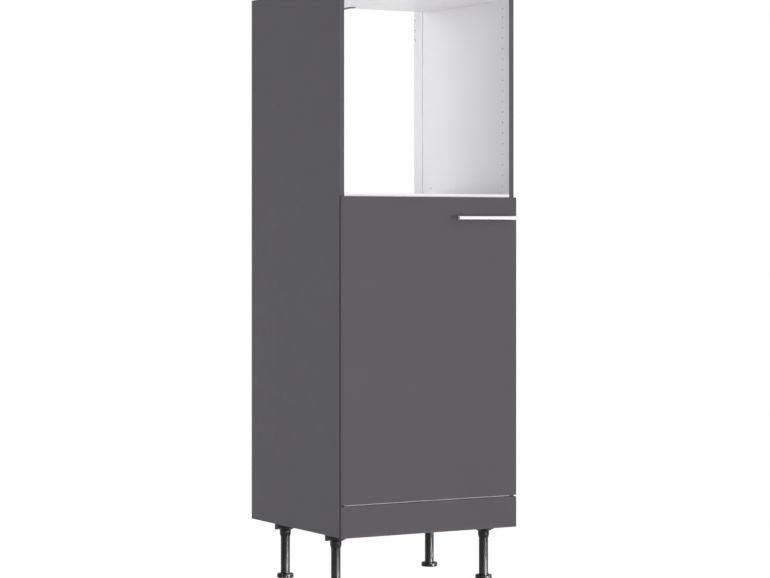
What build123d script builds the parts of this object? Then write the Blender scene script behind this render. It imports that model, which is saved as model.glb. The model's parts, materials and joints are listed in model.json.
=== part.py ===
from build123d import *
import math
import os

# Tall housing cabinet for a built-in oven above a built-in fridge.
# Millimetres, +Z up, front towards -Y, left side at -X. The origin is on the floor,
# under the centre of the whole bounding box.

# Driving sizes of the carcass
carcass_width = 600.0
carcass_depth = 566.0
carcass_height = 1605.0
leg_height = 168.0
board = 16.0
facing = 0.8
edge_band = 1.0
edge_round = 0.8
overrun = 1.0

# How the level boards lie to the fronts and to the rear edge of the sides
fascia_over_floor = 4.0
door_over_shelf = 7.0
panel_rear_gap = 78.0

# Back panel and rear rails
back_thickness = 3.2
groove_width = 4.0
groove_depth = 8.0
groove_setback = 51.0
back_side_clearance = 1.0
rail_height = 96.0

# Fronts
front_board = 16.0
front_standoff = 2.0
front_reveal = 2.0
fascia_height = 92.0
front_gap = 4.0
door_height = 896.0

# Handle
bar_diameter = 12.0
bar_length = 206.0
bar_right_inset = 14.6
bar_below_top = 62.0
handle_reach = 35.0
post_diameter = 9.0
post_spacing = 160.0
bar_chamfer = 0.6
post_socket_depth = 12.0
handle_screw_radius = 2.0
handle_screw_head_radius = 4.2
handle_screw_head = 2.4

# Holes drilled in rows in the side panels
row_hole_radius = 2.5
row_hole_depth = 11.0
row_pitch = 32.0
front_row_setback = 37.0
front_row_count = 17
front_row_drop = 65.3
lone_hole_drop = 41.0
rear_row_setback = 8.0
rear_row_count = 3
rear_row_drop = 36.0
support_hole_setback = 105.5

# Cam fittings and dowels that join the boards
cam_radius = 7.5
cam_height = 12.5
cam_setback = 34.0
cam_slot_width = 2.0
cam_slot_depth = 2.0
cam_slot_length = 9.0
bolt_radius = 2.5
bolt_head_radius = 3.4
bolt_head_length = 4.0
bolt_bore_radius = 3.6
fitting_front_inset = 60.0
fitting_rear_inset = 58.0
dowel_radius = 4.0
dowel_length = 30.0
dowel_in_side = 12.0
dowel_offset = 32.0
dowel_relief = 0.5
rail_dowel_spacing = 48.0

# Legs
leg_inset = 43.6
leg_front_setback = 102.0
leg_rear_setback = 424.0
leg_hub_radius = 32.4
leg_hub_rim_drop = 14.2
leg_hub_rim_round = 1.5
leg_hub_neck_drop = 22.5
leg_hub_floor = 4.0
leg_screw_spacing = 38.0
leg_screw_well_radius = 3.8
heel_reach = 29.0
heel_start = 16.0
heel_front = 4.0
heel_rear = 14.0
heel_drop = 20.5
sleeve_radius = 17.0
sleeve_drop = 42.0
sleeve_taper = 9.0
sleeve_lip = 0.6
tube_radius = 14.0
tube_bore_radius = 11.5
foot_radius = 25.0
foot_height = 13.5
foot_shoulder = 2.5
foot_notch_radius = 2.6
foot_notch_count = 12
foot_gap = 0.3
stem_length = 48.0

# Small screws
screw_radius = 1.75
screw_head_radius = 3.6
screw_head = 1.8
screw_length = 12.0

# Fascia angles
angle_height = 32.0
angle_leg = 22.0
angle_reach = 30.0
angle_thickness = 2.0
angle_base = 30.0
angle_side_screw_share = 0.67
angle_screw_height_shares = (0.25, 0.75)

# Wall strap under the top panel
strap_width = 20.0
strap_right_edge = 2.0
strap_overlap = 42.0
strap_drop = 40.0
strap_hole_radius = 3.0
strap_screw_pitch = 20.0

# Concealed hinge
hinge_end_distance = 100.0
cup_edge_distance = 22.5
cup_radius = 17.5
cup_wall = 0.8
cup_depth = 11.5
cup_flange = 0.8
cup_flange_lip = 1.2
cup_wing_length = 57.0
cup_wing_width = 15.0
cup_wing_offset = 9.5
cup_screw_spacing = 45.0
cup_pivot_from_edge = 15.0
cup_pivot_depth = 4.0
cup_ear_width = 7.0
cup_ear_thickness = 4.0
arm_pivot_from_side = 22.0
arm_pivot_behind_face = 5.0
pivot_pin_radius = 1.5
pivot_clearance = 0.1
link_thickness = 2.5
link_height = 9.0
link_eye_radius = 3.0
link_side_gap = 0.5
hook_drop = 3.9
hook_lead = 3.8
hook_floor_length = 11.6
hook_corner_rise = 4.3
hook_corner_run = 4.4
hook_neck_lean = 0.9
arm_ear_thickness = 2.0
arm_nose_radius = 4.5
arm_web_thickness = 2.0
arm_web_start = 14.0
arm_length = 62.0
arm_shoulder = 22.0
arm_back_height = 23.0
arm_screw_radius = 2.4
arm_screw_head_radius = 3.8
arm_screw_head = 1.6
arm_screw_shares = (0.55, 0.84)
plate_thickness = 2.5
plate_rail_height = 11.0
plate_start = 20.0
plate_wing_width = 16.0
plate_wing_length = 50.0
plate_screw_head_radius = 4.2
plate_screw_head = 1.8

# Door bumpers
bumper_radius = 4.0
bumper_gap = 0.3
bumper_inset = 6.5
bumper_end_distance = 40.0

# Places that follow from the sizes above
front_stack = front_standoff + front_board + handle_reach
face_y = -(carcass_depth + front_stack) / 2 + front_stack
rear_y = face_y + carcass_depth
base_z = leg_height
top_z = base_z + carcass_height
outer_x = carcass_width / 2
inner_x = outer_x - board
front_back_y = face_y - front_standoff
front_face_y = front_back_y - front_board
front_edge_x = outer_x - front_reveal
panel_depth = carcass_depth - panel_rear_gap
fridge_floor_height = fascia_height - fascia_over_floor
oven_shelf_height = fascia_height + front_gap + door_height - door_over_shelf
fascia_low = base_z
fascia_high = fascia_low + fascia_height
door_low = fascia_high + front_gap
door_high = door_low + door_height
groove_y = rear_y - groove_setback
bar_axis_y = front_face_y - handle_reach + bar_diameter / 2
bar_z = door_high - bar_below_top
bar_right = front_edge_x - bar_right_inset
bar_centre_x = bar_right - bar_length / 2
post_xs = [bar_centre_x - post_spacing / 2, bar_centre_x + post_spacing / 2]

panel_floors = {
    "bottom_panel": base_z,
    "fridge_floor": base_z + fridge_floor_height,
    "oven_shelf": base_z + oven_shelf_height,
    "top_panel": top_z - board,
}
cams_on_top = ("bottom_panel", "top_panel")
bolt_ys = [face_y + fitting_front_inset, face_y + panel_depth - fitting_rear_inset]
dowel_ys = [bolt_ys[0] + dowel_offset, bolt_ys[1] - dowel_offset]
rail_floors = {
    "rear_rail_lower": base_z,
    "rear_rail_upper": base_z + oven_shelf_height - rail_height,
}
hinge_zs = {"upper": door_high - hinge_end_distance, "lower": door_low + hinge_end_distance}
leg_ys = {"front": face_y + leg_front_setback, "rear": face_y + leg_rear_setback}
leg_xs = {"left": -outer_x + leg_inset, "right": outer_x - leg_inset}
front_row_y = face_y + front_row_setback
front_row_zs = [top_z - front_row_drop - row_pitch * i for i in range(front_row_count)]
rear_row_zs = [top_z - rear_row_drop - row_pitch * i for i in range(rear_row_count)]
cup_x = -front_edge_x + cup_edge_distance
cup_pivot = (-front_edge_x + cup_pivot_from_edge, front_back_y - cup_pivot_depth)
arm_pivot = (-inner_x + arm_pivot_from_side, face_y + arm_pivot_behind_face)
arm_back_x = -inner_x + arm_back_height
arm_base_x = -inner_x + plate_rail_height
arm_screw_ys = [face_y + arm_length * share for share in arm_screw_shares]
arm_half = link_height / 2 + link_side_gap + arm_ear_thickness
fascia_side_screw_y = face_y + angle_reach * angle_side_screw_share
fascia_front_screw_x = inner_x - angle_leg / 2
strap_x = strap_right_edge - strap_width / 2
strap_top_z = top_z - board
strap_hole_z = strap_top_z - strap_drop / 2
strap_front_y = face_y + panel_depth - strap_overlap
strap_first_screw_y = strap_front_y + (strap_overlap - strap_screw_pitch) / 2
strap_screw_ys = [strap_first_screw_y, strap_first_screw_y + strap_screw_pitch]


def block(low, high):
    """A box between two corners."""
    size = [high[i] - low[i] for i in range(3)]
    centre = [(high[i] + low[i]) / 2 for i in range(3)]
    return Pos(*centre) * Box(*size)


def rod(start, direction, radius, length):
    """A cylinder from a point along a direction."""
    plane = Plane(origin=start, z_dir=direction)
    return plane * Cylinder(radius, length, align=(Align.CENTER, Align.CENTER, Align.MIN))


def fuse(pieces):
    """One shape from a list of pieces."""
    whole = pieces[0]
    for piece in pieces[1:]:
        whole = whole + piece
    return whole


def cut(body, tools):
    """The body less a list of tools, one after the other."""
    for tool in tools:
        body = body - tool
    return body


def write(name, pieces):
    """Writes one node, as one solid or as a group of separate solids."""
    shape = pieces[0] if len(pieces) == 1 else Compound(children=pieces)
    export_step(shape, os.path.join("parts", name + ".step"))
    print(name, "solids", len(shape.solids()), "volume", round(shape.volume))


def screw(seat, direction, radius, length, head_radius, head):
    """A screw whose head stands on the seat and whose shank runs along the direction."""
    away = [-value for value in direction]
    return rod(seat, direction, radius, length) + rod(seat, away, head_radius, head)


def small_screw(seat, direction):
    """One of the small screws that hold the fittings."""
    return screw(seat, direction, screw_radius, screw_length, screw_head_radius, screw_head)


def square(x, y, spacing):
    """The four corners of a square round a point."""
    half = spacing / 2
    return [(x + dx, y + dy) for dx in (-half, half) for dy in (-half, half)]


def dowel_bore(sign, y, z):
    """The bore for a dowel in the end of a board or rail."""
    start_x = sign * (inner_x - dowel_length + dowel_in_side - dowel_relief)
    return rod((start_x, y, z), (sign, 0, 0), dowel_radius, dowel_length)


# Places where the boards are drilled


def side_drillings(sign):
    """Every hole in the inner face of one side panel."""
    row_places = [(front_row_y, z) for z in front_row_zs]
    row_places.append((front_row_y, top_z - lone_hole_drop))
    row_places.append((rear_y - support_hole_setback, front_row_zs[-1]))
    row_places.extend((rear_y - rear_row_setback, z) for z in rear_row_zs)
    row_places.extend((y, floor + board / 2) for floor in panel_floors.values() for y in bolt_ys)
    if sign < 0:
        for centre in hinge_zs.values():
            row_places.extend([(front_row_y, centre - row_pitch / 2), (front_row_y, centre + row_pitch / 2)])
    dowel_places = [(y, floor + board / 2) for floor in panel_floors.values() for y in dowel_ys]
    dowel_places.extend((rear_y - board / 2, z) for z in rail_dowel_zs())
    inward = (sign, 0, 0)
    mouth = sign * (inner_x - overrun)
    dowel_deep = dowel_in_side + dowel_relief + overrun
    holes = [rod((mouth, y, z), inward, row_hole_radius, row_hole_depth + overrun) for y, z in row_places]
    holes.extend(rod((mouth, y, z), inward, dowel_radius, dowel_deep) for y, z in dowel_places)
    for z in fascia_screw_zs():
        holes.append(rod((mouth, fascia_side_screw_y, z), inward, screw_radius, screw_length + overrun))
    return holes


def rail_dowel_zs():
    """Heights of the dowels at the ends of the rear rails."""
    zs = []
    for floor in rail_floors.values():
        middle = floor + rail_height / 2
        zs.extend([middle - rail_dowel_spacing / 2, middle + rail_dowel_spacing / 2])
    return zs


def fascia_screw_zs():
    """Heights of the screws in one fascia angle."""
    return [base_z + angle_base + angle_height * share for share in angle_screw_height_shares]


# Carcass boards


def side_panel(sign):
    """One side board with its drillings and the groove for the back panel."""
    xs = sorted((sign * inner_x, sign * (outer_x - facing)))
    body = block((xs[0], face_y + edge_band, base_z), (xs[1], rear_y, top_z))
    groove_xs = sorted((sign * (inner_x - overrun), sign * (inner_x + groove_depth)))
    groove_low = (groove_xs[0], groove_y - groove_width, base_z - overrun)
    groove = block(groove_low, (groove_xs[1], groove_y, top_z + overrun))
    return cut(body, [groove] + side_drillings(sign))


def outer_facing(sign):
    """The dark laminate on the outside of one side board."""
    xs = sorted((sign * (outer_x - facing), sign * outer_x))
    return block((xs[0], face_y + edge_band, base_z), (xs[1], rear_y, top_z))


def side_edge(sign):
    """The dark edge band on the front of one side board."""
    xs = sorted((sign * inner_x, sign * outer_x))
    band = block((xs[0], face_y, base_z), (xs[1], face_y + edge_band, top_z))
    return fillet(band.edges().filter_by(Axis.Z).group_by(Axis.Y)[0], edge_round)


def cam_place(name, sign, y):
    """Mouth of a cam bore, with the direction in which the cam goes in."""
    floor = panel_floors[name]
    x = sign * (inner_x - cam_setback)
    if name in cams_on_top:
        return (x, y, floor + board), (0, 0, -1)
    return (x, y, floor), (0, 0, 1)


def level_panel(name):
    """One level board, with the bores for its cams, bolts and dowels."""
    floor = panel_floors[name]
    middle = floor + board / 2
    body = block((-inner_x, face_y + edge_band, floor), (inner_x, face_y + panel_depth, floor + board))
    tools = []
    for sign in (-1, 1):
        for y in bolt_ys:
            mouth, inward = cam_place(name, sign, y)
            tools.append(rod(mouth, inward, cam_radius, cam_height))
            start = (sign * (inner_x - cam_setback), y, middle)
            tools.append(rod(start, (sign, 0, 0), bolt_bore_radius, cam_setback + overrun))
        tools.extend(dowel_bore(sign, y, middle) for y in dowel_ys)
    if name == "bottom_panel":
        deep = screw_length - leg_hub_floor
        tools.extend(rod((x, y, floor), (0, 0, 1), screw_radius, deep) for x, y in leg_screw_places())
    if name == "top_panel":
        deep = screw_length - angle_thickness
        tools.extend(rod((strap_x, y, floor), (0, 0, 1), screw_radius, deep) for y in strap_screw_ys)
    return cut(body, tools)


def inner_edge(name):
    """The light edge band on the front of one level board."""
    floor = panel_floors[name]
    band = block((-inner_x, face_y, floor), (inner_x, face_y + edge_band, floor + board))
    return fillet(band.edges().filter_by(Axis.X).group_by(Axis.Y)[0], edge_round)


def back_panel():
    """The thin back of the fridge niche, which slides in the grooves of the sides."""
    reach = inner_x + groove_depth - back_side_clearance
    low = (-reach, groove_y - back_thickness, base_z)
    return block(low, (reach, groove_y, base_z + oven_shelf_height))


def rear_rail(name):
    """An upright rail at the rear edge, doweled between the sides."""
    floor = rail_floors[name]
    body = block((-inner_x, rear_y - board, floor), (inner_x, rear_y, floor + rail_height))
    middle = floor + rail_height / 2
    half = rail_dowel_spacing / 2
    zs = (middle - half, middle + half)
    return cut(body, [dowel_bore(sign, rear_y - board / 2, z) for sign in (-1, 1) for z in zs])


# Board fittings


def cam_housing(name, sign, y):
    """A cam, flush in its bore, with the opening for the bolt head and a driver slot."""
    mouth, inward = cam_place(name, sign, y)
    body = rod(mouth, inward, cam_radius, cam_height)
    bolt_z = panel_floors[name] + board / 2
    opening = rod((mouth[0], y, bolt_z), (sign, 0, 0), bolt_bore_radius, cam_radius + overrun)
    slot_z = mouth[2] + inward[2] * (cam_slot_depth - overrun) / 2
    slot = Pos(mouth[0], y, slot_z) * Box(cam_slot_length, cam_slot_width, cam_slot_depth + overrun)
    return cut(body, [opening, slot])


def cam_bolt(name, sign, y):
    """A bolt, screwed into the side, whose head the cam draws in."""
    z = panel_floors[name] + board / 2
    start = (sign * (inner_x - cam_setback), y, z)
    head = rod(start, (sign, 0, 0), bolt_head_radius, bolt_head_length)
    shank = rod(start, (sign, 0, 0), bolt_radius, cam_setback + row_hole_depth)
    return head + shank


def dowel(sign, y, z):
    """A wooden dowel between a side and the board that meets it."""
    start = (sign * (inner_x - dowel_length + dowel_in_side), y, z)
    return rod(start, (sign, 0, 0), dowel_radius, dowel_length)


def board_dowels():
    """Every dowel of the carcass."""
    dowels = []
    for sign in (-1, 1):
        for floor in panel_floors.values():
            dowels.extend(dowel(sign, y, floor + board / 2) for y in dowel_ys)
        dowels.extend(dowel(sign, rear_y - board / 2, z) for z in rail_dowel_zs())
    return dowels


# Fascia


def front_panel(low_z, high_z):
    """A front board, inside its edge band."""
    low = (-front_edge_x + edge_band, front_face_y, low_z + edge_band)
    return block(low, (front_edge_x - edge_band, front_back_y, high_z - edge_band))


def front_edge_band(low_z, high_z):
    """The band around all four edges of a front board."""
    whole = block((-front_edge_x, front_face_y, low_z), (front_edge_x, front_back_y, high_z))
    whole = fillet(whole.edges(), edge_round)
    low = (-front_edge_x + edge_band, front_face_y - overrun, low_z + edge_band)
    high = (front_edge_x - edge_band, front_back_y + overrun, high_z - edge_band)
    return whole - block(low, high)


def fascia_angle(sign):
    """A steel angle between the back of the fascia and one side."""
    low_z = base_z + angle_base
    high_z = low_z + angle_height
    side_xs = sorted((sign * inner_x, sign * (inner_x - angle_thickness)))
    side_leg = block((side_xs[0], front_back_y, low_z), (side_xs[1], face_y + angle_reach, high_z))
    front_xs = sorted((sign * inner_x, sign * (inner_x - angle_leg)))
    front_leg = block((front_xs[0], front_back_y, low_z), (front_xs[1], face_y, high_z))
    holes = []
    for z in fascia_screw_zs():
        side_start = (sign * (inner_x - angle_leg), fascia_side_screw_y, z)
        front_start = (sign * fascia_front_screw_x, front_back_y, z)
        holes.append(rod(side_start, (sign, 0, 0), screw_radius, angle_leg))
        holes.append(rod(front_start, (0, 1, 0), screw_radius, angle_leg))
    return cut(side_leg + front_leg, holes)


def fascia_angle_screws(sign):
    """The screws of one fascia angle: two in the side and two in the fascia."""
    screws = []
    for z in fascia_screw_zs():
        side_seat = (sign * (inner_x - angle_thickness), fascia_side_screw_y, z)
        front_seat = (sign * fascia_front_screw_x, face_y, z)
        screws.append(small_screw(side_seat, (sign, 0, 0)))
        screws.append(small_screw(front_seat, (0, -1, 0)))
    return screws


def fascia_panel():
    """The fixed front below the door, with the pilot holes for its angles."""
    pilots = []
    for sign in (-1, 1):
        for z in fascia_screw_zs():
            start = (sign * fascia_front_screw_x, front_back_y, z)
            pilots.append(rod(start, (0, -1, 0), screw_radius, screw_length - front_standoff))
    return cut(front_panel(fascia_low, fascia_high), pilots)


# Wall strap


def wall_strap():
    """A bent steel strap from the top panel to the wall, across the air gap at the rear."""
    low_z = strap_top_z - angle_thickness
    left, right = strap_right_edge - strap_width, strap_right_edge
    level = block((left, strap_front_y, low_z), (right, rear_y, strap_top_z))
    upright_low = (left, rear_y - angle_thickness, strap_top_z - strap_drop)
    upright = block(upright_low, (right, rear_y, strap_top_z))
    holes = [rod((strap_x, y, low_z - overrun), (0, 0, 1), screw_radius, board) for y in strap_screw_ys]
    holes.append(rod((strap_x, rear_y + overrun, strap_hole_z), (0, -1, 0), strap_hole_radius, board))
    return cut(level + upright, holes)


def wall_strap_screws():
    """The two screws that hold the strap under the top panel."""
    seat_z = strap_top_z - angle_thickness
    return [small_screw((strap_x, y, seat_z), (0, 0, 1)) for y in strap_screw_ys]


# Legs


def leg_screw_places():
    """Where the legs are screwed to the bottom panel."""
    places = []
    for x in leg_xs.values():
        for y in leg_ys.values():
            places.extend(square(x, y, leg_screw_spacing))
    return places


def leg_plate(x, y):
    """The bell-shaped top of a leg, with the sleeve for the tube, screw wells and a heel outside."""
    outline = Polyline(
        (0, 0),
        (leg_hub_radius, 0),
        (leg_hub_radius, -leg_hub_rim_drop),
        (sleeve_radius, -leg_hub_neck_drop),
        (sleeve_radius, sleeve_taper - sleeve_drop),
        (tube_radius + sleeve_lip, -sleeve_drop),
        (0, -sleeve_drop),
        close=True,
    )
    profile = make_face(outline)
    rim = profile.vertices().group_by(Axis.X)[-1].sort_by(Axis.Y)[0]
    profile = fillet(rim, leg_hub_rim_round)
    bell = Pos(x, y, base_z) * revolve(Plane.XZ * profile, Axis.Z)
    outward = 1 if x > 0 else -1
    heel_xs = sorted((x + outward * heel_start, x + outward * heel_reach))
    heel = block((heel_xs[0], y + heel_front, base_z - heel_drop), (heel_xs[1], y + heel_rear, base_z))
    seat_z = base_z - leg_hub_floor
    sleeve_length = sleeve_drop - leg_hub_floor
    tools = [rod((x, y, seat_z), (0, 0, -1), tube_radius, sleeve_length)]
    for hole_x, hole_y in square(x, y, leg_screw_spacing):
        tools.append(rod((hole_x, hole_y, seat_z), (0, 0, 1), screw_radius, leg_hub_floor))
        tools.append(rod((hole_x, hole_y, seat_z), (0, 0, -1), leg_screw_well_radius, leg_hub_neck_drop))
    return cut(bell + heel, tools)


def leg_tube(x, y):
    """The leg tube, up in its sleeve."""
    low_z = foot_height + foot_gap
    length = base_z - leg_hub_floor - low_z
    outer = rod((x, y, low_z), (0, 0, 1), tube_radius, length)
    return outer - rod((x, y, low_z), (0, 0, 1), tube_bore_radius, length)


def foot(x, y):
    """The levelling foot: a notched disc for turning by hand, with the stem inside the tube."""
    disc_profile = Polyline(
        (0, 0),
        (foot_radius - foot_shoulder / 2, 0),
        (foot_radius, foot_shoulder / 2),
        (foot_radius, foot_height - foot_shoulder),
        (foot_radius - foot_shoulder, foot_height),
        (0, foot_height),
        close=True,
    )
    disc = revolve(Plane.XZ * make_face(disc_profile), Axis.Z)
    notches = []
    for i in range(foot_notch_count):
        angle = 2 * math.pi * (i + 0.5) / foot_notch_count
        place = (foot_radius * math.cos(angle), foot_radius * math.sin(angle), 0)
        notches.append(rod(place, (0, 0, 1), foot_notch_radius, foot_height))
    stem = rod((0, 0, foot_height), (0, 0, 1), tube_bore_radius - foot_gap, stem_length)
    return Pos(x, y, 0) * (cut(disc, notches) + stem)


def leg_screws():
    """All screws of the leg tops."""
    seat_z = base_z - leg_hub_floor
    return [small_screw((x, y, seat_z), (0, 0, 1)) for x, y in leg_screw_places()]


# Door


def door_panel():
    """The door board, bored for the hinge cups and the handle screws."""
    tools = []
    for z in hinge_zs.values():
        tools.append(rod((cup_x, front_back_y + overrun, z), (0, -1, 0), cup_radius, cup_depth + overrun))
        for end in (-1, 1):
            place = (cup_x + cup_wing_offset, front_back_y, z + end * cup_screw_spacing / 2)
            tools.append(rod(place, (0, -1, 0), screw_radius, screw_length - cup_flange))
    for x in post_xs:
        tools.append(rod((x, front_back_y, bar_z), (0, -1, 0), handle_screw_radius, front_board))
    return cut(front_panel(door_low, door_high), tools)


def door_bumpers():
    """Soft pads on the free edge of the door."""
    x = front_edge_x - bumper_inset
    length = front_standoff - bumper_gap
    zs = (door_low + bumper_end_distance, door_high - bumper_end_distance)
    return [rod((x, front_back_y, z), (0, 1, 0), bumper_radius, length) for z in zs]


def handle_bar():
    """The round bar, with its ends lightly chamfered."""
    bar = rod((bar_right - bar_length, bar_axis_y, bar_z), (1, 0, 0), bar_diameter / 2, bar_length)
    ends = bar.edges().filter_by(GeomType.CIRCLE)
    bar = chamfer(ends, bar_chamfer)
    return cut(bar, [handle_post_blank(x) for x in post_xs])


def handle_post_blank(x):
    """The whole round of a post, which seats in the bar up to the bar's axis."""
    return rod((x, front_face_y, bar_z), (0, -1, 0), post_diameter / 2, front_face_y - bar_axis_y)


def handle_post(x):
    """A post with the threaded socket for its screw."""
    socket = rod((x, front_face_y, bar_z), (0, -1, 0), handle_screw_radius, post_socket_depth)
    return handle_post_blank(x) - socket


def handle_screw(x):
    """A screw through the door into a post."""
    seat = (x, front_back_y, bar_z)
    length = front_board + post_socket_depth
    head = (handle_screw_head_radius, handle_screw_head)
    return screw(seat, (0, -1, 0), handle_screw_radius, length, *head)


# Concealed hinges


def hinge_cup(z):
    """The cup in the door, with its screw wings and the two ears that hold the pivot pin."""
    floor_y = front_back_y - cup_depth
    shell = rod((cup_x, front_back_y, z), (0, -1, 0), cup_radius, cup_depth)
    rim = rod((cup_x, front_back_y, z), (0, 1, 0), cup_radius + cup_flange_lip, cup_flange)
    wing_outline = SlotOverall(cup_wing_length, cup_wing_width)
    wing_plane = Plane(origin=(cup_x + cup_wing_offset, front_back_y, z), x_dir=(0, 0, 1), z_dir=(0, 1, 0))
    wings = extrude(wing_plane * wing_outline, cup_flange)
    hollow_depth = cup_depth + cup_flange - cup_wall
    hollow = rod((cup_x, front_back_y + cup_flange, z), (0, -1, 0), cup_radius - cup_wall, hollow_depth)
    body = (shell + rim + wings) - hollow
    inner_gap = link_height / 2 + link_side_gap
    half = cup_ear_width / 2
    for end in (-1, 1):
        zs = sorted((z + end * inner_gap, z + end * (inner_gap + cup_ear_thickness)))
        low = (cup_pivot[0] - half, floor_y + cup_wall, zs[0])
        body = body + block(low, (cup_pivot[0] + half, cup_pivot[1] + half, zs[1]))
        place = (cup_x + cup_wing_offset, front_back_y, z + end * cup_screw_spacing / 2)
        body = body - rod(place, (0, 1, 0), screw_radius, cup_flange)
    return body - cup_pin(z)


def cup_pin(z):
    """The pivot pin between the ears of the cup."""
    reach = link_height / 2 + link_side_gap + cup_ear_thickness
    return rod((*cup_pivot, z - reach), (0, 0, 1), pivot_pin_radius, 2 * reach)


def cup_screws(z):
    """The two screws of one cup."""
    screws = []
    for end in (-1, 1):
        seat = (cup_x + cup_wing_offset, front_back_y + cup_flange, z + end * cup_screw_spacing / 2)
        head = (screw_head_radius, cup_flange)
        screws.append(screw(seat, (0, -1, 0), screw_radius, screw_length, *head))
    return screws


def link_route():
    """Centre line of the hooked link, from the cup's pivot down under the rim and up to the arm."""
    start_x, start_y = cup_pivot
    low_y = start_y - hook_drop
    turn_x = start_x + hook_lead + hook_floor_length
    neck_x = turn_x + hook_corner_run
    return [
        (start_x, start_y),
        (start_x + hook_lead, low_y),
        (turn_x, low_y),
        (neck_x, low_y + hook_corner_rise),
        (arm_pivot[0] - hook_neck_lean, face_y),
        arm_pivot,
    ]


def hinge_link(z):
    """The hooked link that carries the door: a bent bar with an eye at each end."""
    route = link_route()
    floor_z = z - link_height / 2
    pieces = []
    for (x0, y0), (x1, y1) in zip(route, route[1:]):
        length = math.hypot(x1 - x0, y1 - y0)
        angle = math.degrees(math.atan2(y1 - y0, x1 - x0))
        outline = Rot(0, 0, angle) * SlotCenterToCenter(length, link_thickness)
        pieces.append(Pos((x0 + x1) / 2, (y0 + y1) / 2, floor_z) * extrude(outline, link_height))
    for x, y in (route[0], route[-1]):
        pieces.append(rod((x, y, floor_z), (0, 0, 1), link_eye_radius, link_height))
    bore = pivot_pin_radius + pivot_clearance
    bores = [rod((x, y, floor_z), (0, 0, 1), bore, link_height) for x, y in (route[0], route[-1])]
    return cut(fuse(pieces), bores)


def hinge_arm(z):
    """The arm: a channel on the plate, with two cheeks that hold the arm's pivot pin."""
    cheek = make_face(
        Polyline(
            (arm_pivot[0] - arm_nose_radius, arm_pivot[1]),
            (arm_base_x, face_y + arm_shoulder),
            (arm_base_x, face_y + arm_length),
            (arm_back_x, face_y + arm_length),
            (arm_back_x, face_y + arm_shoulder),
            (arm_pivot[0] + arm_nose_radius, arm_pivot[1]),
            close=True,
        )
    )
    cheek = cheek + Pos(*arm_pivot) * Circle(arm_nose_radius)
    pieces = []
    for low_z in (z - arm_half, z + arm_half - arm_ear_thickness):
        pieces.append(Pos(0, 0, low_z) * extrude(cheek, arm_ear_thickness))
    low = (arm_back_x - arm_web_thickness, face_y + arm_web_start, z - arm_half)
    pieces.append(block(low, (arm_back_x, face_y + arm_length, z + arm_half)))
    tools = [arm_pin(z)]
    for y in arm_screw_ys:
        tools.append(rod((arm_back_x + overrun, y, z), (-1, 0, 0), arm_screw_radius, arm_back_height))
    return cut(fuse(pieces), tools)


def arm_pin(z):
    """The pivot pin through the cheeks of the arm."""
    return rod((*arm_pivot, z - arm_half), (0, 0, 1), pivot_pin_radius, 2 * arm_half)


def arm_screws(z):
    """The two adjusting screws that hold the arm on its plate."""
    length = arm_back_x + inner_x - plate_thickness
    seats = [(arm_back_x, y, z) for y in arm_screw_ys]
    head = (arm_screw_head_radius, arm_screw_head)
    return [screw(seat, (-1, 0, 0), arm_screw_radius, length, *head) for seat in seats]


def hinge_plate(z):
    """The plate on the side board: a winged base with a raised rail for the arm."""
    wing_plane = Plane(origin=(-inner_x, front_row_y, z), x_dir=(0, 0, 1), z_dir=(1, 0, 0))
    wings = extrude(wing_plane * SlotOverall(plate_wing_length, plate_wing_width), plate_thickness)
    start, end = face_y + plate_start, face_y + arm_length
    foot_block = block((-inner_x, start, z - arm_half), (arm_base_x, end, z + arm_half))
    tools = []
    for hole_z in (z - row_pitch / 2, z + row_pitch / 2):
        tools.append(rod((-inner_x, front_row_y, hole_z), (1, 0, 0), row_hole_radius, plate_thickness))
    depth = arm_base_x + inner_x - plate_thickness
    tools.extend(rod((arm_base_x, y, z), (-1, 0, 0), arm_screw_radius, depth) for y in arm_screw_ys)
    return cut(wings + foot_block, tools)


def plate_screws(z):
    """The two screws of one hinge plate, in the row of holes of the side board."""
    length = plate_thickness + row_hole_depth
    head = (plate_screw_head_radius, plate_screw_head)
    screws = []
    for hole_z in (z - row_pitch / 2, z + row_pitch / 2):
        seat = (-inner_x + plate_thickness, front_row_y, hole_z)
        screws.append(screw(seat, (-1, 0, 0), row_hole_radius, length, *head))
    return screws


# Writing the nodes


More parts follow.
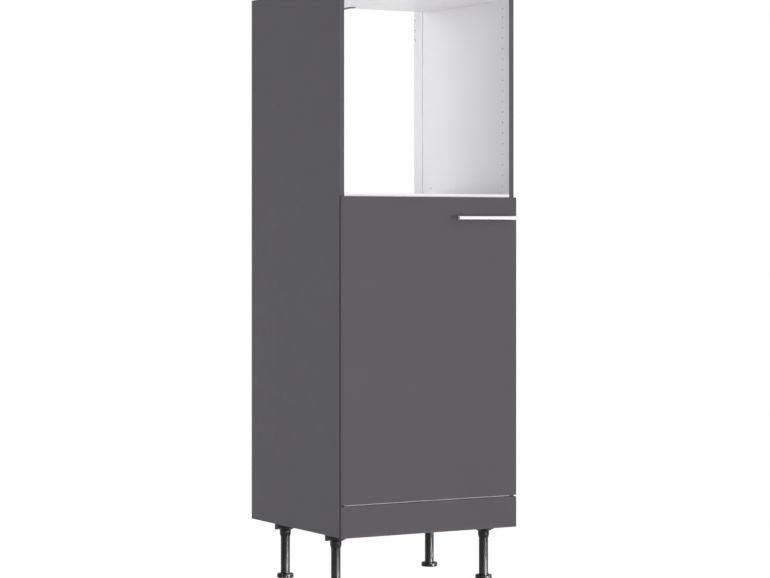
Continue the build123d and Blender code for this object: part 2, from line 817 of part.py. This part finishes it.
def main():
    os.makedirs("parts", exist_ok=True)
    for side, sign in (("left", -1), ("right", 1)):
        write("side_panel_" + side, [side_panel(sign)])
        write("outer_facing_" + side, [outer_facing(sign)])
        write("side_edge_" + side, [side_edge(sign)])
    for name in panel_floors:
        write(name, [level_panel(name)])
    write("inner_edge_strips", [inner_edge(name) for name in panel_floors])
    write("back_panel", [back_panel()])
    for name in rail_floors:
        write(name, [rear_rail(name)])
    corners = [(name, sign, y) for name in panel_floors for sign in (-1, 1) for y in bolt_ys]
    write("cam_housings", [cam_housing(*corner) for corner in corners])
    write("cam_bolts", [cam_bolt(*corner) for corner in corners])
    write("wood_dowels", board_dowels())
    write("fascia_panel", [fascia_panel()])
    write("fascia_edge_band", [front_edge_band(fascia_low, fascia_high)])
    write("fascia_angles", [fascia_angle(-1), fascia_angle(1)])
    write("fascia_screws", fascia_angle_screws(-1) + fascia_angle_screws(1))
    write("wall_strap", [wall_strap()])
    write("wall_strap_screws", wall_strap_screws())
    for row, y in leg_ys.items():
        for side, x in leg_xs.items():
            place = row + "_" + side
            write("leg_plate_" + place, [leg_plate(x, y)])
            write("leg_tube_" + place, [leg_tube(x, y)])
            write("foot_" + place, [foot(x, y)])
    write("leg_plate_screws", leg_screws())
    write("door_panel", [door_panel()])
    write("door_edge_band", [front_edge_band(door_low, door_high)])
    write("door_bumpers", door_bumpers())
    write("handle_bar", [handle_bar()])
    write("handle_post_left", [handle_post(post_xs[0])])
    write("handle_post_right", [handle_post(post_xs[1])])
    write("handle_screws", [handle_screw(x) for x in post_xs])
    for place, z in hinge_zs.items():
        write("hinge_cup_" + place, [hinge_cup(z)])
        write("hinge_link_" + place, [hinge_link(z)])
        write("hinge_arm_" + place, [hinge_arm(z)])
        write("hinge_plate_" + place, [hinge_plate(z)])
    write("hinge_cup_pins", [cup_pin(z) for z in hinge_zs.values()])
    write("hinge_arm_pins", [arm_pin(z) for z in hinge_zs.values()])
    write("hinge_cup_screws", [piece for z in hinge_zs.values() for piece in cup_screws(z)])
    write("hinge_arm_screws", [piece for z in hinge_zs.values() for piece in arm_screws(z)])
    write("hinge_plate_screws", [piece for z in hinge_zs.values() for piece in plate_screws(z)])


main()
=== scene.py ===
import json
import math

import bpy
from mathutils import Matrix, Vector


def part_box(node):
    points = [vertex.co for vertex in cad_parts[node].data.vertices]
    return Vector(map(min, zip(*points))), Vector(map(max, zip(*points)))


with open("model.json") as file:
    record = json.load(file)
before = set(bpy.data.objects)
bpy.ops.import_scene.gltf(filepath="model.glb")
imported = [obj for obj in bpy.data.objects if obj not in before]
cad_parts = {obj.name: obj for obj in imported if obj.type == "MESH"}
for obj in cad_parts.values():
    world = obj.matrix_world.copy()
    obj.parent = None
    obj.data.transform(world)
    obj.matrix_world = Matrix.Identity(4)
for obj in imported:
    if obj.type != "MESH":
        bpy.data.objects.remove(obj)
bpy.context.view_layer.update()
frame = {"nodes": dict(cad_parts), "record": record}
nodes = frame["nodes"]
SLOTS = {part["node"]: part["material_slot"] for part in frame["record"]["subparts"]}

# Linear colours
WHITE_FACE = (0.865, 0.858, 0.875)
WHITE_BAND = (0.865, 0.849, 0.868)
SIDE_GREY = (0.0805, 0.076, 0.0848)
FRONT_GREY = (0.083, 0.077, 0.0845)
EDGE_GREY = (0.089, 0.084, 0.090)
CHIP_LIGHT = (0.60, 0.52, 0.42)
CHIP_DARK = (0.36, 0.29, 0.21)
HARDBOARD = (0.27, 0.17, 0.095)
HOLE_GREY = (0.50, 0.50, 0.51)
# Painted light: near-white on the walls of a side board's groove, brighter than the face, to lift the
# shade there
GROOVE_PAINTED_LIGHT = (0.98, 0.98, 0.98)
BLACK_PAINT = (0.1, 0.1, 0.1)
BLACK_PLASTIC = (0.004, 0.004, 0.004)
BRIGHT_STEEL = (0.86, 0.86, 0.87)
NICKEL = (0.66, 0.65, 0.63)
ZINC = (0.62, 0.62, 0.60)
BEECH_DARK = (0.42, 0.27, 0.14)
BEECH_LIGHT = (0.58, 0.40, 0.23)
BUMPER_DARK = (0.72, 0.72, 0.72)
BUMPER_LIGHT = (0.8, 0.8, 0.8)
PURE_WHITE = (1.0, 1.0, 1.0)

# Coats: tones are factors on the colour, gloss is a range of roughness, depth is that of the grain
# in metres, and a noise is its patches to the metre, its detail and, where given, its roughness
WHITE_COAT = {"tones": (0.99, 1.005), "tone_noise": (9.0, 2.0),
              "gloss": (0.285, 0.3), "gloss_noise": (55.0, 3.0),
              "grain_noise": (900.0, 2.0, 0.5), "depth": 0.00002, "specular": 0.45}
BACK_COAT = {**WHITE_COAT, "depth": 0.00006, "specular": 0.5}
WHITE_BAND_COAT = {**BACK_COAT, "grain_noise": (600.0, 2.0, 0.5), "depth": 0.00003}
SIDE_COAT = {"tones": (0.97, 1.03), "tone_noise": (6.0, 3.0),
             "gloss": (0.42, 0.5), "gloss_noise": (30.0, 4.0),
             "grain_noise": (1100.0, 3.0, 0.6), "depth": 0.00008, "specular": 0.14}
FRONT_COAT = {**SIDE_COAT, "gloss": (0.38, 0.46), "depth": 0.00006}
GREY_BAND_COAT = {**SIDE_COAT, "gloss": (0.36, 0.44),
                  "grain_noise": (900.0, 3.0, 0.6), "depth": 0.00005}
PAINT_COAT = {"tones": (0.75, 0.95), "tone_noise": (60.0, 3.0),
              "gloss": (0.38, 0.5), "gloss_noise": (200.0, 3.0),
              "grain_noise": (1800.0, 2.0), "depth": 0.00003, "specular": 0.5}
PLASTIC_COAT = {"tones": (0.75, 1.25), "tone_noise": (40.0, 3.0),
                "gloss": (0.4, 0.46), "gloss_noise": (120.0, 3.0),
                "grain_noise": (1500.0, 2.0), "depth": 0.00002, "specular": 0.25}

# Metals: lines to the metre along X, Y and Z, mean roughness, depth of the lines in metres, how far
# the colour is mottled, and the roughness of ends that are sawn across X
ZINC_METAL = {"lines": (500, 500, 500), "rough": 0.36, "depth": 0.00001, "mottled": 0.08}
NICKEL_METAL = {"lines": (400, 400, 400), "rough": 0.2, "depth": 0.000005, "mottled": 0.03}
HANDLE_METAL = {"lines": (12, 3000, 3000), "rough": 0.23, "depth": 0.000004, "mottled": 0.02,
                "end_rough": 0.65}

# The noise of the drawn lines, and the share by which they change the roughness
LINE_NOISE = (1.0, 4.0, 0.6)
LINE_GLOSS = 0.15

# Chipboard, hardboard, beech and clear plastic
CHIPS_TO_THE_METRE = (700, 700, 700)
CHIP_STOPS = (0.0, 0.45, 1.0)
CHIP_MIDDLE_TONE = 0.8
FIBRE_STRETCH = (1, 1, 2.2)
FIBRE_NOISE = (420.0, 5.0, 0.7)
FIBRE_TONES = (0.8, 1.15)
BEECH_LINES = (60, 900, 900)
BEECH_NOISE = (1.0, 3.0)
BEECH_ROUGH = 0.6
BUMPER_NOISE = (300.0, 3.0)
BUMPER_ROUGH = 0.2
BUMPER_TRANSMISSION = 0.6

# Noise values between which a cloud or a drawn line goes from dark to light
CLOUD_STOPS = (0.3, 0.7)
LINE_STOPS = (0.25, 0.75)

# Masks, in metres: half the width of the groove whose walls get painted light, the depth behind a
# face at which the core starts, and the depth behind a sawn edge to which its chips show
GROOVE_HALF = 0.004
FACE_SKIN = 0.0003
EDGE_SKIN = 0.001

# The least part of its normal that a face has along the axis that it faces
ALONG_AXIS = 0.5

# Sockets of the Mix node
MIX_FACTOR, VALUE_A, VALUE_B, COLOUR_A, COLOUR_B = 0, 2, 3, 6, 7
MIXED_VALUE, MIXED_COLOUR = 0, 2


# Node tools


def new_material(name):
    """A new material with one shader. Gives the material, its tree and the shader."""
    material = bpy.data.materials.new(name)
    material.use_nodes = True
    tree = material.node_tree
    tree.nodes.clear()
    output = tree.nodes.new("ShaderNodeOutputMaterial")
    shader = tree.nodes.new("ShaderNodeBsdfPrincipled")
    tree.links.new(shader.outputs["BSDF"], output.inputs["Surface"])
    return material, tree, shader


def plug(tree, value, socket):
    """A socket gets a link from another one, or a plain value or colour."""
    if isinstance(value, bpy.types.NodeSocket):
        tree.links.new(value, socket)
    elif socket.type == "RGBA":
        socket.default_value = (*value, 1.0)
    else:
        socket.default_value = value


def add(tree, kind, inputs=None, **settings):
    """A node with its settings, its input values and its incoming links."""
    node = tree.nodes.new(kind)
    for key, value in settings.items():
        setattr(node, key, value)
    for key, value in (inputs or {}).items():
        plug(tree, value, node.inputs[key])
    return node


def math_node(tree, operation, *values):
    """The result of a math node for some values or sockets."""
    inputs = dict(enumerate(values))
    return add(tree, "ShaderNodeMath", inputs, operation=operation).outputs[0]


def mix_colour(tree, fac, a, b):
    """Colour a where fac is 0 and colour b where it is 1."""
    inputs = {MIX_FACTOR: fac, COLOUR_A: a, COLOUR_B: b}
    return add(tree, "ShaderNodeMix", inputs, data_type="RGBA").outputs[MIXED_COLOUR]


def mix_value(tree, fac, a, b):
    """Value a where fac is 0 and value b where it is 1."""
    inputs = {MIX_FACTOR: fac, VALUE_A: a, VALUE_B: b}
    return add(tree, "ShaderNodeMix", inputs).outputs[MIXED_VALUE]


def object_place(tree, scale=(1, 1, 1)):
    """The point on the piece, in metres, stretched by a scale."""
    place = add(tree, "ShaderNodeTexCoord").outputs["Object"]
    return add(tree, "ShaderNodeMapping", {"Vector": place, "Scale": scale}).outputs["Vector"]


def coordinate(tree, source, axis):
    """One coordinate of a vector of the Texture Coordinate node, such as Object or Normal."""
    vector = add(tree, "ShaderNodeTexCoord").outputs[source]
    return add(tree, "ShaderNodeSeparateXYZ", {"Vector": vector}).outputs[axis]


def within(tree, value, middle, reach):
    """1 where a value is less than a reach away from a middle."""
    away = math_node(tree, "ABSOLUTE", math_node(tree, "SUBTRACT", value, middle))
    return math_node(tree, "LESS_THAN", away, reach)


def noise(tree, vector, scale, detail, roughness=0.55):
    inputs = {"Vector": vector, "Scale": scale, "Detail": detail, "Roughness": roughness}
    return add(tree, "ShaderNodeTexNoise", inputs).outputs["Fac"]


def ramp(tree, value, stops):
    """A colour ramp from (position, colour) stops."""
    node = add(tree, "ShaderNodeValToRGB", {"Fac": value})
    elements = node.color_ramp.elements
    for position, _ in stops[1:-1]:
        elements.new(position)
    for element, (position, colour) in zip(elements, stops):
        element.position = position
        element.color = (*colour, 1.0)
    return node.outputs["Color"]


def blend(tree, value, low, high, stops=CLOUD_STOPS):
    """The low colour up to the first stop of a value, which turns into the high one at the second."""
    return ramp(tree, value, list(zip(stops, (low, high))))


def bump(tree, shader, height, depth):
    """Relief from a height of 0 to 1, with its depth in metres."""
    node = add(tree, "ShaderNodeBump", {"Height": height, "Distance": depth, "Strength": 1.0})
    tree.links.new(node.outputs["Normal"], shader.inputs["Normal"])


def grey(value):
    return (value, value, value)


def shade(colour, factor):
    return tuple(channel * factor for channel in colour)


# Masks of the boards


def off_axis(axis):
    """A mask of the faces that don't face along an axis."""
    def mask(tree):
        return within(tree, coordinate(tree, "Normal", axis), 0.0, ALONG_AXIS)
    return mask


def beyond_side_face(tree):
    """1 deeper than the inner face of a side board, so on its edges and in holes and groove."""
    inner_face = abs(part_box("side_panel_right")[0].x) + FACE_SKIN
    from_middle = math_node(tree, "ABSOLUTE", coordinate(tree, "Object", "X"))
    return math_node(tree, "GREATER_THAN", from_middle, inner_face)


def at_side_groove(tree):
    """1 as far back as the groove of a side board, whose walls get a near-white painted light against
    their shade.
    """
    back_low, back_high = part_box("back_panel")
    groove = (back_low.y + back_high.y) / 2
    return within(tree, coordinate(tree, "Object", "Y"), groove, GROOVE_HALF)


def inside_side_edges(tree):
    """1 further in than the sawn edges of a side board, so in its drilled holes."""
    low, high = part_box("side_panel_right")
    middle, reach = (low.z + high.z) / 2, (high.z - low.z) / 2
    level = within(tree, coordinate(tree, "Object", "Z"), middle, reach - EDGE_SKIN)
    depth = coordinate(tree, "Object", "Y")
    ahead = math_node(tree, "LESS_THAN", depth, high.y - EDGE_SKIN)
    return math_node(tree, "MULTIPLY", level, ahead)


# Materials


def coat(tree, shader, colour, look):
    """Gloss, grain and specular level of a coat, and its mottled colour, which it gives back."""
    place = object_place(tree)
    dark, light = (shade(colour, tone) for tone in look["tones"])
    toned = blend(tree, noise(tree, place, *look["tone_noise"]), dark, light)
    smooth, rough = (grey(level) for level in look["gloss"])
    gloss = blend(tree, noise(tree, place, *look["gloss_noise"]), smooth, rough)
    tree.links.new(gloss, shader.inputs["Roughness"])
    bump(tree, shader, noise(tree, place, *look["grain_noise"]), look["depth"])
    shader.inputs["Specular IOR Level"].default_value = look["specular"]
    return toned


def coated(name, colour, look):
    """A material that is one coat all over."""
    material, tree, shader = new_material(name)
    tree.links.new(coat(tree, shader, colour, look), shader.inputs["Base Color"])
    return material


def chip_colour(tree):
    """The raw core of particle board: pale and dark chips pressed together."""
    place = object_place(tree, CHIPS_TO_THE_METRE)
    cells = add(tree, "ShaderNodeTexVoronoi", {"Vector": place, "Scale": 1.0, "Randomness": 1.0})
    tone = add(tree, "ShaderNodeSeparateColor", {"Color": cells.outputs["Color"]}).outputs[0]
    middle = shade(CHIP_LIGHT, CHIP_MIDDLE_TONE)
    return ramp(tree, tone, list(zip(CHIP_STOPS, (CHIP_DARK, middle, CHIP_LIGHT))))


def white_board(name, raw_where, is_side=False):
    """White melamine on particle board, raw in a mask; a side has grey holes and painted light in its
    groove.
    """
    material, tree, shader = new_material(name)
    face = coat(tree, shader, WHITE_FACE, WHITE_COAT)
    core = chip_colour(tree)
    if is_side:
        core = mix_colour(tree, inside_side_edges(tree), core, HOLE_GREY)
        # Painted light: the groove walls get near-white to lift their shade
        core = mix_colour(tree, at_side_groove(tree), core, GROOVE_PAINTED_LIGHT)
    face = mix_colour(tree, raw_where(tree), face, core)
    tree.links.new(face, shader.inputs["Base Color"])
    return material


def back_board():
    """White on the niche side and plain hardboard on the wall side and the edges."""
    material, tree, shader = new_material("back_board")
    face = coat(tree, shader, WHITE_FACE, BACK_COAT)
    fibres = noise(tree, object_place(tree, FIBRE_STRETCH), *FIBRE_NOISE)
    dark, light = (shade(HARDBOARD, tone) for tone in FIBRE_TONES)
    board = blend(tree, fibres, dark, light)
    bare = math_node(tree, "GREATER_THAN", coordinate(tree, "Normal", "Y"), -ALONG_AXIS)
    tree.links.new(mix_colour(tree, bare, face, board), shader.inputs["Base Color"])
    return material


def metal(name, colour, look):
    """Metal with drawn lines, which are long along an axis that has few of them to the metre."""
    material, tree, shader = new_material(name)
    shader.inputs["Metallic"].default_value = 1.0
    lines = noise(tree, object_place(tree, look["lines"]), *LINE_NOISE)
    dark, light = shade(colour, 1 - look["mottled"]), shade(colour, 1 + look["mottled"])
    toned = blend(tree, lines, dark, light, LINE_STOPS)
    tree.links.new(toned, shader.inputs["Base Color"])
    rough = look["rough"]
    smoothest, roughest = grey(rough * (1 - LINE_GLOSS)), grey(rough * (1 + LINE_GLOSS))
    gloss = blend(tree, lines, smoothest, roughest, LINE_STOPS)
    if "end_rough" in look:
        gloss = mix_colour(tree, off_axis("X")(tree), grey(look["end_rough"]), gloss)
    tree.links.new(gloss, shader.inputs["Roughness"])
    bump(tree, shader, lines, look["depth"])
    return material


def beech():
    material, tree, shader = new_material("beech")
    grain = noise(tree, object_place(tree, BEECH_LINES), *BEECH_NOISE)
    toned = blend(tree, grain, BEECH_DARK, BEECH_LIGHT)
    tree.links.new(toned, shader.inputs["Base Color"])
    shader.inputs["Roughness"].default_value = BEECH_ROUGH
    return material


def clear_bumper():
    material, tree, shader = new_material("clear_bumper")
    cloud = noise(tree, object_place(tree), *BUMPER_NOISE)
    toned = blend(tree, cloud, BUMPER_DARK, BUMPER_LIGHT)
    tree.links.new(toned, shader.inputs["Base Color"])
    shader.inputs["Roughness"].default_value = BUMPER_ROUGH
    shader.inputs["Transmission Weight"].default_value = BUMPER_TRANSMISSION
    return material


FINISHES = {
    "white_edge": coated("white_edge", WHITE_BAND, WHITE_BAND_COAT),
    "anthracite_laminate": coated("anthracite_laminate", SIDE_GREY, SIDE_COAT),
    "anthracite_edge": coated("anthracite_edge", EDGE_GREY, GREY_BAND_COAT),
    "anthracite_front": coated("anthracite_front", FRONT_GREY, FRONT_COAT),
    "zinc": metal("zinc", ZINC, ZINC_METAL),
    "beech": beech(),
    "black_steel": coated("black_steel", BLACK_PAINT, PAINT_COAT),
    "black_plastic": coated("black_plastic", BLACK_PLASTIC, PLASTIC_COAT),
    "clear_bumper": clear_bumper(),
    "handle_steel": metal("handle_steel", BRIGHT_STEEL, HANDLE_METAL),
    "hinge_nickel": metal("hinge_nickel", NICKEL, NICKEL_METAL),
}
side_white = white_board("white_side", beyond_side_face, is_side=True)
level_white = white_board("white_level", off_axis("Z"))
upright_white = white_board("white_upright", off_axis("Y"))
BOARD_FINISHES = {
    "side_panel_left": side_white, "side_panel_right": side_white,
    "bottom_panel": level_white, "fridge_floor": level_white,
    "oven_shelf": level_white, "top_panel": level_white,
    "rear_rail_lower": upright_white, "rear_rail_upper": upright_white,
    "back_panel": back_board(),
}
for name, piece in nodes.items():
    finish = BOARD_FINISHES.get(name) or FINISHES[SLOTS[name]]
    piece.data.materials.clear()
    piece.data.materials.append(finish)


# Stage: floor, world, lamps and camera

# Floor: half its length in metres, its tones and their noise, and for the rays that show the
# background the share of plain glow and its strength
FLOOR_HALF = 40.0
FLOOR_TONES = (0.88, 0.9)
FLOOR_NOISE = (0.8, 2.0)
GLOW_SHARE = 0.9
GLOW_STRENGTH = 1.05

# Studio light round the object, as (share of the turn, strength): 0 rear, 0.25 left, 0.5 front
REAR_LEFT_BOX = [(0.0625, 1.0), (0.125, 3.0), (0.1875, 5.4), (0.25, 0.1)]
FRONT_BOX = [(0.375, 0.1), (0.4375, 0.9), (0.5, 4.6), (0.5625, 4.6), (0.625, 3.8)]
REAR_RIGHT_BOX = [(0.75, 3.1), (0.9375, 3.0)]
STUDIO = [(0.0, 2.8), *REAR_LEFT_BOX, *FRONT_BOX, *REAR_RIGHT_BOX, (1.0, 2.8)]

# Light from straight above and below, the power of the height by which the ring fades to it, and
# the strength that the background shows
ZENITH = 0.2
FADE_POWER = 0.5
BACKGROUND = 1.0

# Strip lamps: turn is 0 in front and 90 at the right, in degrees as spread and dip are, and low
# is the lower edge
FRONT_STRIP = {"turn": 12, "distance": 6.0, "width": 3.0, "height": 0.35, "low": 0.12,
               "strength": 28.0, "spread": 180, "dip": 0}
LEG_STRIP = {"turn": 27, "distance": 2.2, "width": 0.9, "height": 0.12, "low": 0.01,
             "strength": 6.5, "spread": 7, "dip": 1.7}
REAR_STRIP = {"turn": 232, "distance": 9.0, "width": 4.5, "height": 0.5, "low": 0.1,
              "strength": 11.0, "spread": 180, "dip": 0}

# Camera, solved from the photo: sensor and lens in millimetres, the shift as a share of the sensor,
# the heading in degrees from the Y axis to the right, and the rest in metres
SENSOR_WIDTH = 36.0
LENS = 113.91
SHIFT_UP = -0.07261
HEADING = 29.790
EYE = (-3.6942, -6.4512, 1.0528)
NEAR, FAR = 0.1, 200.0


def shows_background(tree):
    """1 for the rays that show the white background: camera, glossy and transmission."""
    seen = add(tree, "ShaderNodeLightPath").outputs
    shows = math_node(tree, "MAXIMUM", seen["Is Camera Ray"], seen["Is Glossy Ray"])
    return math_node(tree, "MAXIMUM", shows, seen["Is Transmission Ray"])


def floor_material():
    """Matt white, and mostly plain glow for the rays that show the background."""
    material = bpy.data.materials.new("stage_floor")
    material.use_nodes = True
    tree = material.node_tree
    tree.nodes.clear()
    output = tree.nodes.new("ShaderNodeOutputMaterial")
    dark, light = (grey(tone) for tone in FLOOR_TONES)
    tone = blend(tree, noise(tree, object_place(tree), *FLOOR_NOISE), dark, light)
    matt = add(tree, "ShaderNodeBsdfDiffuse", {"Color": tone})
    glow = add(tree, "ShaderNodeEmission", {"Color": PURE_WHITE, "Strength": GLOW_STRENGTH})
    share = math_node(tree, "MULTIPLY", shows_background(tree), GLOW_SHARE)
    inputs = {"Fac": share, 1: matt.outputs["BSDF"], 2: glow.outputs["Emission"]}
    mixed = add(tree, "ShaderNodeMixShader", inputs)
    tree.links.new(mixed.outputs[0], output.inputs["Surface"])
    return material


def make_floor():
    """A level floor at the height 0, far wider than the picture shows."""
    sides = [(-1, -1), (1, -1), (1, 1), (-1, 1)]
    corners = [(x * FLOOR_HALF, y * FLOOR_HALF, 0) for x, y in sides]
    mesh = bpy.data.meshes.new("stage_floor")
    mesh.from_pydata(corners, [], [(0, 1, 2, 3)])
    floor = bpy.data.objects.new("stage_floor", mesh)
    mesh.materials.append(floor_material())
    bpy.context.scene.collection.objects.link(floor)


def make_world():
    """White for the rays that show the background, and else the studio light round the object."""
    world = bpy.data.worlds.new("studio")
    bpy.context.scene.world = world
    world.use_nodes = True
    tree = world.node_tree
    tree.nodes.clear()
    output = tree.nodes.new("ShaderNodeOutputWorld")
    x, y, z = (coordinate(tree, "Generated", axis) for axis in "XYZ")
    angle = math_node(tree, "ARCTAN2", math_node(tree, "MULTIPLY", x, -1.0), y)
    turn = math_node(tree, "FRACT", math_node(tree, "DIVIDE", angle, 2 * math.pi))
    # A ramp holds at most 1, so it has the strengths as shares of the strongest
    top = max(strength for _, strength in STUDIO)
    shares = ramp(tree, turn, [(place, grey(strength / top)) for place, strength in STUDIO])
    share = add(tree, "ShaderNodeSeparateColor", {"Color": shares}).outputs[0]
    ring = math_node(tree, "MULTIPLY", share, top)
    fade = math_node(tree, "POWER", math_node(tree, "ABSOLUTE", z), FADE_POWER)
    level = mix_value(tree, fade, ring, ZENITH)
    strength = mix_value(tree, shows_background(tree), level, BACKGROUND)
    glow = add(tree, "ShaderNodeBackground", {"Color": PURE_WHITE, "Strength": strength})
    tree.links.new(glow.outputs[0], output.inputs["Surface"])


def make_strip(name, values):
    """A long low lamp that stands at a distance and faces the object, tipped down by its dip."""
    width, height, distance = values["width"], values["height"], values["distance"]
    turn = math.radians(values["turn"])
    data = bpy.data.lights.new(name, "AREA")
    data.shape = "RECTANGLE"
    data.size, data.size_y = width, height
    data.energy = values["strength"] * math.pi * width * height
    data.spread = math.radians(values["spread"])
    lamp = bpy.data.objects.new(name, data)
    bpy.context.scene.collection.objects.link(lamp)
    middle = values["low"] + height / 2
    lamp.location = (distance * math.sin(turn), -distance * math.cos(turn), middle)
    lamp.rotation_euler = (math.radians(90 - values["dip"]), 0, turn)


def make_camera():
    """The level camera of the photo, which stands at the front left."""
    data = bpy.data.cameras.new("camera")
    camera = bpy.data.objects.new("camera", data)
    bpy.context.scene.collection.objects.link(camera)
    data.sensor_width = SENSOR_WIDTH
    data.lens = LENS
    data.shift_y = SHIFT_UP
    data.clip_start, data.clip_end = NEAR, FAR
    camera.location = EYE
    camera.rotation_euler = (math.radians(90), 0, math.radians(-HEADING))
    bpy.context.scene.camera = camera


make_floor()
make_world()
make_strip("front_strip", FRONT_STRIP)
make_strip("leg_strip", LEG_STRIP)
make_strip("rear_strip", REAR_STRIP)
make_camera()
bpy.context.scene.view_settings.view_transform = "Standard"

bpy.context.view_layer.update()
